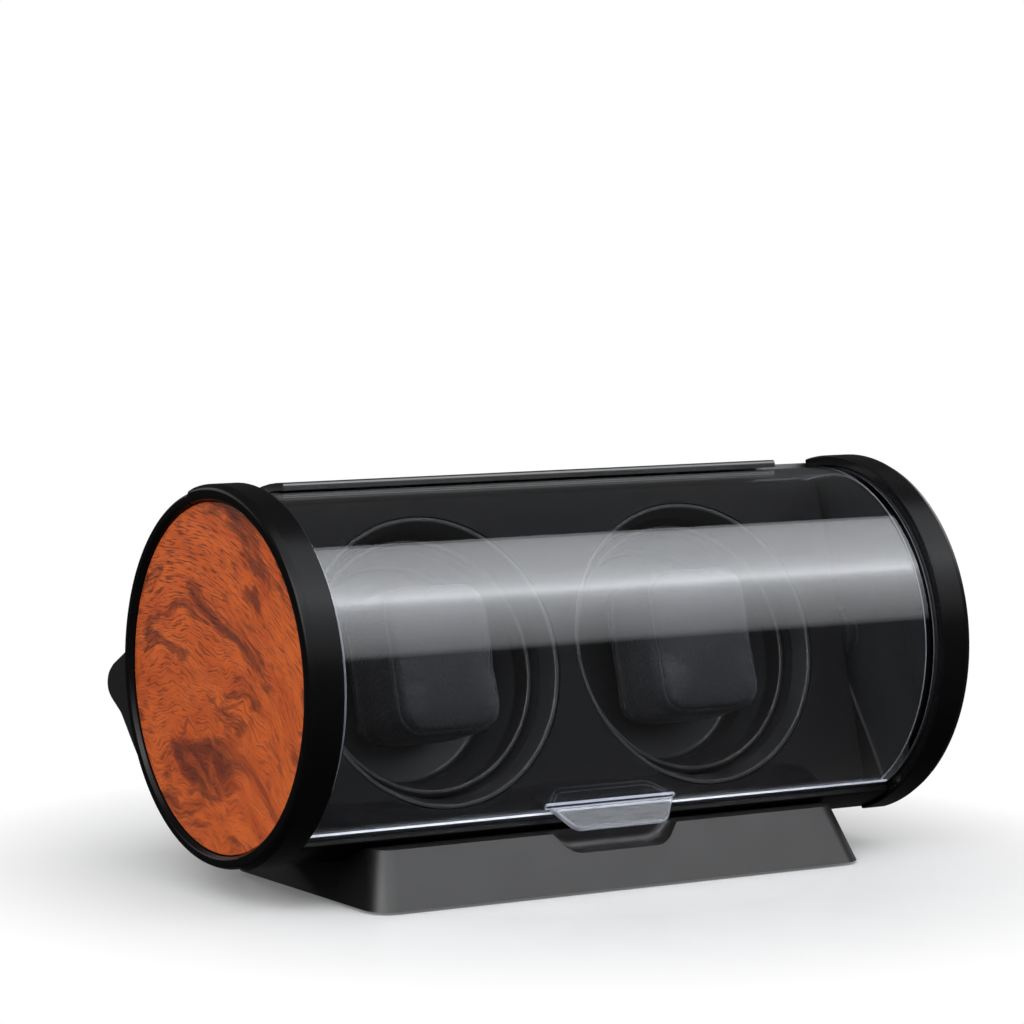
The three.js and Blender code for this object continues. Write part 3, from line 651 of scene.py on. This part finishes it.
def rear_outline(offset=0.0):
    """The rear half's outline, closed across the axis, with the ridge's corners rounded."""
    ridge = []
    for back, up in ridge_corners():
        grow = 1 + offset / math.hypot(back, up)
        ridge.append((back * grow, up * grow))
    radius = SHELL_OUTER + offset
    smooth_ridge = filleted([(*arc(radius, 160, 160)[0], 0), (*arc(radius, 172.5, 172.5)[0], 14)]
                            + [(*p, 9) for p in ridge] + [(*arc(radius, 263, 263)[0], 0)], 6)
    return [*arc(radius, SEAM - 4, 159), *smooth_ridge, *arc(radius, 264, SEAM + 184)]


def seam_half(front):
    """Everything in front of the seam plane, or behind it."""
    low, high = (-FAR, -GAP / 2) if front else (GAP / 2, FAR)
    return block("half", (-FAR, low, -FAR), (FAR, high, FAR), LEANING)


def rear_shell():
    half = shell_high.x
    shell = prism("shell_rear", rear_outline(), -half, half)
    middle = Vector((52, -14))
    hollow = [(40, 3)]
    for corner in ridge_corners()[1:-1]:
        arm = Vector(corner) - middle
        hollow.append(tuple(middle + arm * (1 - 2.6 / arm.length)))
    hollow.append((18, -50))
    combine(shell, "DIFFERENCE", prism("bore", arc(SHELL_INNER, 0, 358, 2), -half - 1, half + 1))
    combine(shell, "DIFFERENCE", prism("hollow", hollow, -half + SHELL_WALL, half - SHELL_WALL))
    combine(shell, "INTERSECT", seam_half(False))
    # The lip's front edge is a broad round, which catches the light from above.
    crest = arc(LIP_OUTER, LIP_FROM, SEAM + 3, 4.5)
    under = arc(SHELL_INNER, SEAM + 3, LIP_FROM)
    lip = filleted([(*crest[0], 1.9), *((*p, 0) for p in crest[1:] + under)])
    combine(shell, "UNION", prism("lip", lip, LIP_LEFT, LIP_RIGHT))
    flat = plate_low.y - GAP
    combine(shell, "DIFFERENCE", block("flat", (-60, flat, -30), (60, 100, 10)))
    soften(shell, 0.7, 3, 30)
    return install(shell, shell_satin, "satin_black", "root", "rear_shell")


def control_plate():
    low, high = plate_low, plate_high
    plate = prism("plate_control", rounded_rect((low.x, low.z), (high.x, high.z), 1.5), low.y, high.y, "Y")
    knob_x = (knob_low.x + knob_high.x) / 2
    for x, radius in ((-knob_x, 2.3), (0, 3.7), (knob_x, 2.3)):
        hole = rod(radius, low.y - 1, high.y + 1)
        combine(plate, "DIFFERENCE", turned("hole", hole, "Y", (x, 0, CONTROL_Z), steps=48))
    soften(plate, 0.3)
    install(plate, matt, "matt_black", "root", "control_plate")

    # Raised marks round each knob, one for each of its programmes.
    marks = []
    for side in (-1, 1):
        for k in range(4):
            angle = math.radians(90 - 90 * k)
            centre = (side * knob_x + 7.6 * math.cos(angle), 0, CONTROL_Z + 4.2 * math.sin(angle))
            dot = rod(0.55, high.y - 0.1, high.y + 0.25, 0, 0.15)
            marks.append(turned("mark", dot, "Y", centre, steps=20))
    combine(marks[0], "UNION", *marks[1:])
    marks[0].name = "control_marks"
    install(marks[0], nylon, "nylon", "root")


def mode_knobs():
    centre = ((knob_low.x + knob_high.x) / 2, 0, CONTROL_Z)
    grip, stem = (knob_high.x - knob_low.x) / 2, 2
    profile = filleted([
        (0, knob_low.y, 0), (stem, knob_low.y, 0.3), (stem, CONTROL_FACE, 0), (grip, CONTROL_FACE, 0.3),
        (grip, knob_high.y, 0.8), (0, knob_high.y, 0),
    ])
    knob = turned("knob_right", profile, "Y", centre, steps=96)
    for k in range(16):
        angle = math.tau * (k + 0.5) / 16
        groove = rod(0.38, CONTROL_FACE + 0.6, FAR)
        place = (centre[0] + (grip + 0.1) * math.cos(angle), 0, centre[2] + (grip + 0.1) * math.sin(angle))
        combine(knob, "DIFFERENCE", turned("groove", groove, "Y", place, steps=12))
    pointer = block("pointer", (centre[0] - 0.45, knob_high.y - 0.6, CONTROL_Z + 0.8),
                    (centre[0] + 0.45, knob_high.y + 1, CONTROL_Z + 8))
    combine(knob, "DIFFERENCE", pointer)
    soften(knob, 0.12, 2, 40)
    install_pair(knob, sheen_black, "satin_black", "knob_SIDE", "mode_knob")


def power_inlet():
    low, high = inlet_low, inlet_high
    body, socket, pin = 3.4, 2.75, 1
    floor_y, tip_y = 68, 77
    profile = filleted([
        (0, low.y, 0), (body, low.y, 0.3), (body, CONTROL_FACE, 0), (high.x, CONTROL_FACE, 0.2),
        (high.x, high.y, 0.4), (socket, high.y, 0.3), (socket, floor_y, 0), (pin, floor_y, 0),
        (pin, tip_y, 0.4), (0, tip_y, 0),
    ])
    inlet = turned("inlet_power", profile, "Y", (0, 0, CONTROL_Z), steps=72)
    install(inlet, sheen_black, "matt_black", "root", "dc_inlet")


# ---- The base ----
def base_block(bottom, top):
    """The base's tapered block between two heights."""
    corner, steps = 8, 10
    outline = []
    for turn, (sx, sy) in enumerate(((1, 1), (-1, 1), (-1, -1), (1, -1))):
        for k in range(steps + 1):
            angle = math.radians(90 * turn + 90 * k / steps)
            x = sx * (base_high.x - corner) + corner * math.cos(angle)
            y = (base_rear_high.y if sy > 0 else base_low.y) - sy * corner + corner * math.sin(angle)
            outline.append((x, y))
    rows = 12
    points = []
    for row in range(rows + 1):
        height = bottom + (top - bottom) * row / rows
        share = (height - base_low.z) / (BASE_TOP - base_low.z)
        for x, y in outline:
            depth = (y - base_low.y) / (base_rear_high.y - base_low.y)
            points.append((x * (1 - share * 5.5 / base_high.x), y + share * (9.4 - 18.4 * depth), height))
    n = len(outline)
    faces = [tuple(range(n)), tuple(range(rows * n, rows * n + n))]
    for row in range(rows):
        for i in range(n):
            j = (i + 1) % n
            faces.append((row * n + i, row * n + j, (row + 1) * n + j, (row + 1) * n + i))
    return shape("base", points, faces, CYLINDER)


def finger_scoop():
    """The hollow under the cover's tab, with a round foot to its back wall."""
    half, low, back = TAB_HALF, -59.5, -33.5
    top, shoulder, foot = -40, BASE_TOP + 1, TAB_HALF - 7
    corners = [
        (-half, top, 0), (-half, shoulder, 3), (-foot, low, 9),
        (foot, low, 9), (half, shoulder, 3), (half, top, 0),
    ]
    scoop = prism("scoop", filleted(corners, 6), -75, back, "Y")
    return soften(scoop, 3.2, 6, 50)


def base_halves():
    whole = base_block(base_low.z, BASE_TOP)
    combine(whole, "DIFFERENCE", prism("cradle", arc(SHELL_OUTER + 0.5, 0, 358, 2), -FAR, FAR))
    combine(whole, "DIFFERENCE", prism("ridge", rear_outline(GAP), -FAR, FAR))
    combine(whole, "DIFFERENCE", finger_scoop())
    under = extent("bottom_plate")
    recess = rounded_rect((under[0].x - GAP, under[0].y - GAP), (under[1].x + GAP, under[1].y + GAP), 6)
    combine(whole, "DIFFERENCE", prism("recess", recess, base_low.z - 5, under[1].z + GAP, "Z"))
    rear = whole.copy()
    rear.data = whole.data.copy()
    bpy.context.scene.collection.objects.link(rear)
    for half, name, front in ((whole, "front", True), (rear, "rear", False)):
        combine(half, "INTERSECT", seam_half(front))
        half.name = "base_half_" + name
        soften(half, 0.9, 4, 30)
        install(half, base_satin, "satin_black", "root", "base_" + name)


def front_sill():
    rear = 34.3 - SEAM
    outline = [
        *arc(SHELL_OUTER, -57.5, rear), *arc(SHELL_INNER, rear, -61), *arc(54.9, -61, -59),
        *arc(SHELL_INNER - 0.4, -57.5, -56), arc(SHELL_OUTER, -56, -56)[0],
    ]
    sill = prism("sill_front", outline, -cover_high.x, cover_high.x)
    soften(sill, 0.5, 3, 40)
    return install(sill, satin, "satin_black", "root", "front_sill")


def underside():
    low, high = extent("bottom_plate")
    plate = prism("plate_bottom", rounded_rect((low.x, low.y), (high.x, high.y), 5.5), low.z, high.z, "Z")
    for side in ("left", "right"):
        for end in ("front", "rear"):
            node = f"base_screw_{end}_{side}"
            screw_low, screw_high = extent(node)
            x, y = (screw_low.x + screw_high.x) / 2, (screw_low.y + screw_high.y) / 2
            hole = rod(1.8, low.z - 1, high.z + 1)
            combine(plate, "DIFFERENCE", turned("hole", hole, "Z", (x, y, 0), steps=24))
            base_screw(node, Vector((x, y, screw_low.z)), screw_high.z)
            rubber_foot(f"foot_{end}_{side}")
    # Vent slots under the motors.
    for k in range(-4, 5):
        slot = rounded_rect((k * 6 - 1, -14), (k * 6 + 1, 14), 0.99)
        combine(plate, "DIFFERENCE", prism("slot", slot, low.z - 1, low.z + 0.8, "Z"))
    soften(plate, 0.2, 2)
    install(plate, matt, "matt_black", "root", "bottom_plate")


def base_screw(node, at, top):
    head, shank = (extent(node)[1].x - extent(node)[0].x) / 2, 1.5
    neck = at.z + 1.5
    profile = filleted([
        (0, at.z, 0), (head, at.z, 0.9), (head, neck, 0.1), (shank, neck, 0), (shank, top, 0.3), (0, top, 0),
    ])
    screw = turned("screw_" + node.split("screw_")[1], profile, "Z", (at.x, at.y, 0), steps=36)
    for across, along in ((0.35, 1.7), (1.7, 0.35)):
        low, high = at - Vector((across, along, 1)), at + Vector((across, along, 0.9))
        combine(screw, "DIFFERENCE", block("slot", low, high))
    soften(screw, 0.06, 1, 50)
    install(screw, steel, "steel", "root", node)


def rubber_foot(node):
    low, high = extent(node)
    radius = (high.x - low.x) / 2
    centre = ((low.x + high.x) / 2, (low.y + high.y) / 2, 0)
    dish = low.z + 0.35
    profile = filleted([
        (0, dish, 0), (radius - 2.6, dish, 0.2), (radius - 2.0, low.z, 0.3), (radius - 0.2, low.z, 0.6),
        (radius, high.z, 0.3), (0, high.z, 0),
    ])
    foot = turned("rubber_" + node, profile, "Z", centre, steps=64)
    install(foot, foot_rubber, "foot_rubber", "root", node)


# ---- The front panel and the drums, in the leaning frame ----
def front_panel():
    low, high = panel_low, panel_high
    outline = rounded_rect((low.x, low.z), (high.x, high.z), 3)
    panel = prism("panel_front", outline, low.y, high.y, "Y", LEANING)
    for side in (-1, 1):
        hole = rod(OPENING_RADIUS, low.y - 1, high.y + 1)
        combine(panel, "DIFFERENCE", turned("hole", hole, "Y", (side * DRUM_X, 0, DRUM_Z), place=LEANING))
    soften(panel, 0.45, 3, 40)
    return install(panel, panel_black, "matt_black", "root", "front_panel")


def bezel_rings():
    front, rear = bezel_low.y, bezel_high.y
    outer, flange = OPENING_RADIUS - GAP, (bezel_high.x - bezel_low.x) / 2
    seat, heel = panel_high.y + GAP, -4.2
    profile = filleted([
        (46.6, front, 0.7), (outer, front, 0.4), (outer, seat, 0.1), (flange, seat, 0.2), (flange, heel, 0.4),
        (47.6, heel, 0.4), (45, rear, 0.3), (43.3, rear, 0.5), (44.9, -1.4, 1.2), (44.2, -1.9, 0.8),
    ])
    ring = turned("bezel_right", profile, "Y", (DRUM_X, 0, DRUM_Z), place=LEANING)
    install_pair(ring, sheen_black, "satin_black", "root", "bezel_ring")


def drums():
    radius, front, rear = DRUM_RADIUS, drum_low.y, drum_high.y
    shaft, boss, boss_front = 4, 6, 13
    wall, mouth, cup = 38.5, 40.7, 36.8
    rear_face, cup_floor, groove = 25, 22.6, 39
    profile = filleted([
        (0, rear, 0), (shaft, rear, 0.5), (shaft, rear_face, 0.4), (wall, rear_face, 0.6), (wall, 14.8, 0.4),
        (40.4, 14.8, 0.3), (groove, 13.2, 0.3), (groove, 11.4, 0.3), (radius, 8.2, 0.8), (radius, front, 0.7),
        (mouth, front, 0.7), (mouth, 8, 2.5), (cup, 14, 2.0), (cup, cup_floor, 2.2), (boss, cup_floor, 0.8),
        (boss, boss_front, 0.8), (0, boss_front, 0),
    ])
    drum = turned("cup_right", profile, "Y", (DRUM_X, 0, DRUM_Z), place=LEANING)
    install_pair(drum, sheen_black, "satin_black", "turning_drum_SIDE", "drum")


# ---- The watch cushions ----
def swell(piece, voxel, pressure, cap):
    """Remeshes a piece and blows it up as cloth, with no point moving further than the cap."""
    remesh = piece.modifiers.new("voxels", "REMESH")
    remesh.mode = "VOXEL"
    remesh.voxel_size = voxel * MM
    bake(piece)
    count = len(piece.data.vertices)
    rest = np.zeros(count * 3)
    piece.data.vertices.foreach_get("co", rest)
    rest = rest.reshape(-1, 3)
    modifier = piece.modifiers.new("cloth", "CLOTH")
    cloth = modifier.settings
    cloth.quality = 6
    cloth.mass = 0.3
    cloth.tension_stiffness = cloth.compression_stiffness = 12
    cloth.shear_stiffness = 5
    cloth.bending_stiffness = 0.6
    cloth.use_pressure = True
    cloth.uniform_pressure_force = pressure
    cloth.effector_weights.gravity = 0
    modifier.point_cache.frame_start, modifier.point_cache.frame_end = 1, 20
    scene = bpy.context.scene
    for step in range(1, 21):
        scene.frame_set(step)
    graph = bpy.context.evaluated_depsgraph_get()
    swollen = piece.evaluated_get(graph).to_mesh()
    moved = np.zeros(count * 3)
    swollen.vertices.foreach_get("co", moved)
    travel = moved.reshape(-1, 3) - rest
    length = np.linalg.norm(travel, axis=1, keepdims=True)
    capped = rest + travel * np.minimum(1, cap * MM / np.maximum(length, 1e-9))
    piece.modifiers.clear()
    scene.frame_set(1)
    piece.data.vertices.foreach_set("co", capped.ravel())
    piece.data.update()
    return piece


def loop_round(piece, station, centre):
    """The line where a closed surface crosses a plane, found from inside, as points in the leaning frame."""
    tree = BVHTree.FromObject(piece, bpy.context.evaluated_depsgraph_get())
    origin = LEANING @ Vector((centre.x, station, centre.z))
    line = []
    for k in range(120):
        angle = math.tau * k / 120
        ray = (LEANING.to_3x3() @ Vector((math.cos(angle), 0, math.sin(angle)))).normalized()
        hit = tree.ray_cast(origin, ray)[0]
        line.append(LEANING.inverted() @ hit)
    return line


def piping(name, line, radius):
    """A closed cord along a seam."""
    sides, n = 10, len(line)
    centre = sum(line, Vector()) / n
    points = []
    for k, point in enumerate(line):
        ahead = (line[(k + 1) % n] - line[k - 1]).normalized()
        out = (point - centre).normalized()
        out = (out - ahead * out.dot(ahead)).normalized()
        across = ahead.cross(out)
        for j in range(sides):
            angle = math.tau * j / sides
            points.append(point + (out * math.cos(angle) + across * math.sin(angle)) * radius)
    faces = []
    for k in range(n):
        for j in range(sides):
            a, b = k * sides + j, k * sides + (j + 1) % sides
            c, d = (k + 1) % n * sides + (j + 1) % sides, (k + 1) % n * sides + j
            faces.append((a, b, c, d))
    return shape(name, points, faces, LEANING)


def watch_cushions():
    """A watch pillow: a stuffed block, crowned all over and drawn in along two piped seams."""
    low, high = cushion_low, cushion_high
    centre = (low + high) / 2
    inset = 2.2
    outline = rounded_rect((low.x + inset, low.z + inset), (high.x - inset, high.z - inset), 8)
    pillow = prism("pillow_right", outline, low.y + inset + 0.8, high.y - inset, "Y", LEANING)
    soften(pillow, 5, 4, 50)
    swell(pillow, 2.6, 4.0, 2.6)
    seams = (low.y + 7.5, high.y - 8)
    nip(pillow, seams, centre)
    subdivide = pillow.modifiers.new("fine", "SUBSURF")
    subdivide.levels = subdivide.render_levels = 1
    bake(pillow)
    lines = [loop_round(pillow, station, centre) for station in seams]
    socket = rod(6.6, 12.4, high.y + 6)
    combine(pillow, "DIFFERENCE", turned("socket", socket, "Y", (DRUM_X, 0, DRUM_Z), steps=48, place=LEANING))
    for side in install_pair(pillow, leather, "cushion_leather", "cushion_SIDE", "watch_cushion"):
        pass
    for place, line in zip(("front", "rear"), lines):
        cord = piping(f"piping_{place}_right", line, 0.75)
        left = mirrored(cord, f"piping_{place}_left")
        install(cord, leather, "cushion_leather", "cushion_right")
        install(left, leather, "cushion_leather", "cushion_left")


def nip(piece, seams, centre):
    """Draws a cushion's surface in along its seams, and puckers it lightly beside them."""
    back = LEANING.inverted()
    for vertex in piece.data.vertices:
        at = back @ vertex.co
        out = Vector((at.x - centre.x, 0, at.z - centre.z))
        if out.length < 8:
            continue
        depth = 0.0
        for seam in seams:
            away = abs(at.y - seam)
            pucker = 1 + 0.25 * math.sin(26 * math.atan2(out.z, out.x))
            depth += 1.1 * math.exp(-((away / 2.4) ** 2)) * (1 if away < 1.2 else pucker)
        vertex.co = LEANING @ (at - out.normalized() * depth)


# ---- Hidden pieces keep their CAD shape ----
CARRIED = {
    "inner_housing": matt,
    "housing_saddle": matt,
    "drive_chassis": matt,
    "control_board": board,
    "drum_bearing": nylon,
    "motor_pulley": nylon,
    "drum_retainer": steel,
    "motor": steel,
    "drive_belt": belt_rubber,
}


def carry_over():
    for name, node in frame["nodes"].items():
        look = CARRIED.get(name) or CARRIED.get(name.rsplit("_", 1)[0])
        if look:
            node.data.materials.clear()
            node.data.materials.append(look)


# ---- Camera, floor and lights ----
def camera():
    yaw, pitch, roll = (math.radians(a) for a in (32.917, 5.623, 0.619))
    ahead = Vector((math.sin(yaw) * math.cos(pitch), math.cos(yaw) * math.cos(pitch), -math.sin(pitch)))
    right = Vector((math.cos(yaw), -math.sin(yaw), 0))
    up = right.cross(ahead)
    axes = Matrix((
        right * math.cos(roll) + up * math.sin(roll),
        up * math.cos(roll) - right * math.sin(roll),
        -ahead,
    )).transposed()
    data = bpy.data.cameras.new("camera")
    data.sensor_width = 36
    data.lens = 151.7
    view = bpy.data.objects.new("camera", data)
    view.matrix_world = Matrix.Translation(AXIS + Vector((-0.7883, -1.19205, 0.18813))) @ axes.to_4x4()
    bpy.context.scene.collection.objects.link(view)
    bpy.context.scene.camera = view


def floor():
    """A pale floor that brightens to plain white away from the object."""
    half = 6000
    outline = [(-half, -half), (half, -half), (half, half), (-half, half)]
    points = [(x, y, -AXIS.z / MM) for x, y in outline]
    sheet = shape("floor", points, [(0, 1, 2, 3)], CYLINDER)
    look = Look("pale floor", Specular_IOR_Level=0.5)
    look.colour(look.ramp(look.noise(30, 2), (0.3, 0.44), (0.7, 0.46)))
    look.roughness(look.ramp(look.noise(20, 2), (0.3, 0.16), (0.7, 0.2)))
    look.shader.inputs["Emission Color"].default_value = (1, 1, 1, 1)
    look.shader.inputs["Emission Strength"].default_value = 0.13
    distance = look.node("ShaderNodeVectorMath", {0: look.place}, operation="LENGTH").outputs["Value"]
    fade = look.node("ShaderNodeMapRange", {0: distance, 1: 0.10, 2: 0.21, 3: 0.0, 4: 1.0}).outputs[0]
    white = look.node("ShaderNodeEmission", {"Color": (1, 1, 1, 1), "Strength": 1.0})
    chosen = look.node("ShaderNodeMixShader", {0: fade, 1: look.shader.outputs[0], 2: white.outputs[0]})
    look.link(chosen.outputs[0], look.tree.nodes["Material Output"].inputs["Surface"])
    sheet.data.materials.append(look.material)
    sheet.visible_glossy = False
    sheet.visible_diffuse = False
    sheet.visible_transmission = False


def softbox(name, towards, distance, size, strength, colour=(1, 1, 1), fall=None):
    """A rectangular lamp that faces the object from a direction. Its long side runs level.
    fall gives its brightness from its lower edge to its upper one, as (place, share) stops."""
    direction = Vector(towards).normalized()
    data = bpy.data.lights.new(name, "AREA")
    data.shape = "RECTANGLE"
    data.size, data.size_y = size
    data.color = colour
    # A lamp's radiance is its power over pi times its area.
    data.energy = strength * math.pi * size[0] * size[1]
    if fall:
        shade(data, fall)
    lamp = bpy.data.objects.new(name, data)
    level = Vector((1, 0, 0)) if abs(direction.x) < 0.01 else Vector((0, 0, 1)).cross(direction).normalized()
    axes = Matrix((level, direction.cross(level), direction)).transposed().to_4x4()
    lamp.matrix_world = Matrix.Translation(AXIS + direction * distance) @ axes
    lamp.visible_camera = False
    bpy.context.scene.collection.objects.link(lamp)


def shade(data, fall):
    """Grades a lamp's brightness across its short side."""
    data.use_nodes = True
    tree = data.node_tree
    emission = tree.nodes["Emission"]
    parts = tree.nodes.new("ShaderNodeSeparateXYZ")
    tree.links.new(tree.nodes.new("ShaderNodeNewGeometry").outputs["Parametric"], parts.inputs[0])
    ramp = tree.nodes.new("ShaderNodeValToRGB")
    while len(ramp.color_ramp.elements) < len(fall):
        ramp.color_ramp.elements.new(0.5)
    for element, (place, share) in zip(ramp.color_ramp.elements, fall):
        element.position = place
        element.color = (share, share, share, 1)
    tree.links.new(parts.outputs["Y"], ramp.inputs[0])
    tree.links.new(ramp.outputs[0], emission.inputs["Strength"])


def over_front(elevation):
    """The direction at an elevation in the plane across the cylinder's axis, from the front."""
    angle = math.radians(elevation)
    return (0, -math.cos(angle), math.sin(angle))


def lights():
    grade = ((0.0, 0.0), (0.07, 0.16), (0.25, 0.30), (0.33, 0.38), (0.41, 0.53), (0.45, 0.72), (0.47, 1.0),
             (0.49, 1.0), (0.55, 0.72), (0.63, 0.56), (0.72, 0.47), (0.83, 0.40), (1.0, 0.26))
    softbox("main softbox", over_front(52.5), 1.3, (3.2, 2.13), 7.0, (0.95, 0.97, 1.0), grade)
    softbox("left softbox", (-0.75, -0.38, 0.55), 1.4, (0.8, 0.8), 6.0)
    softbox("rear softbox", (-0.45, 0.8, 0.42), 1.6, (1.1, 0.7), 1.6)
    softbox("right softbox", (0.9, 0.35, 0.35), 1.5, (0.7, 0.7), 1.6)
    world = bpy.data.worlds.new("studio")
    world.use_nodes = True
    tree = world.node_tree
    seen = tree.nodes["Background"]
    seen.inputs["Color"].default_value = (1, 1, 1, 1)
    dim = tree.nodes.new("ShaderNodeBackground")
    dim.inputs["Color"].default_value = (1, 1, 1, 1)
    dim.inputs["Strength"].default_value = 0.05
    path = tree.nodes.new("ShaderNodeLightPath")
    choose = tree.nodes.new("ShaderNodeMixShader")
    tree.links.new(path.outputs["Is Camera Ray"], choose.inputs[0])
    tree.links.new(dim.outputs[0], choose.inputs[1])
    tree.links.new(seen.outputs[0], choose.inputs[2])
    tree.links.new(choose.outputs[0], tree.nodes["World Output"].inputs["Surface"])
    bpy.context.scene.world = world
    bpy.context.scene.view_settings.view_transform = "Standard"


camera()
clear_cover()
ends()
rear_shell()
control_plate()
mode_knobs()
power_inlet()
base_halves()
front_sill()
underside()
front_panel()
bezel_rings()
drums()
watch_cushions()
carry_over()
floor()
lights()
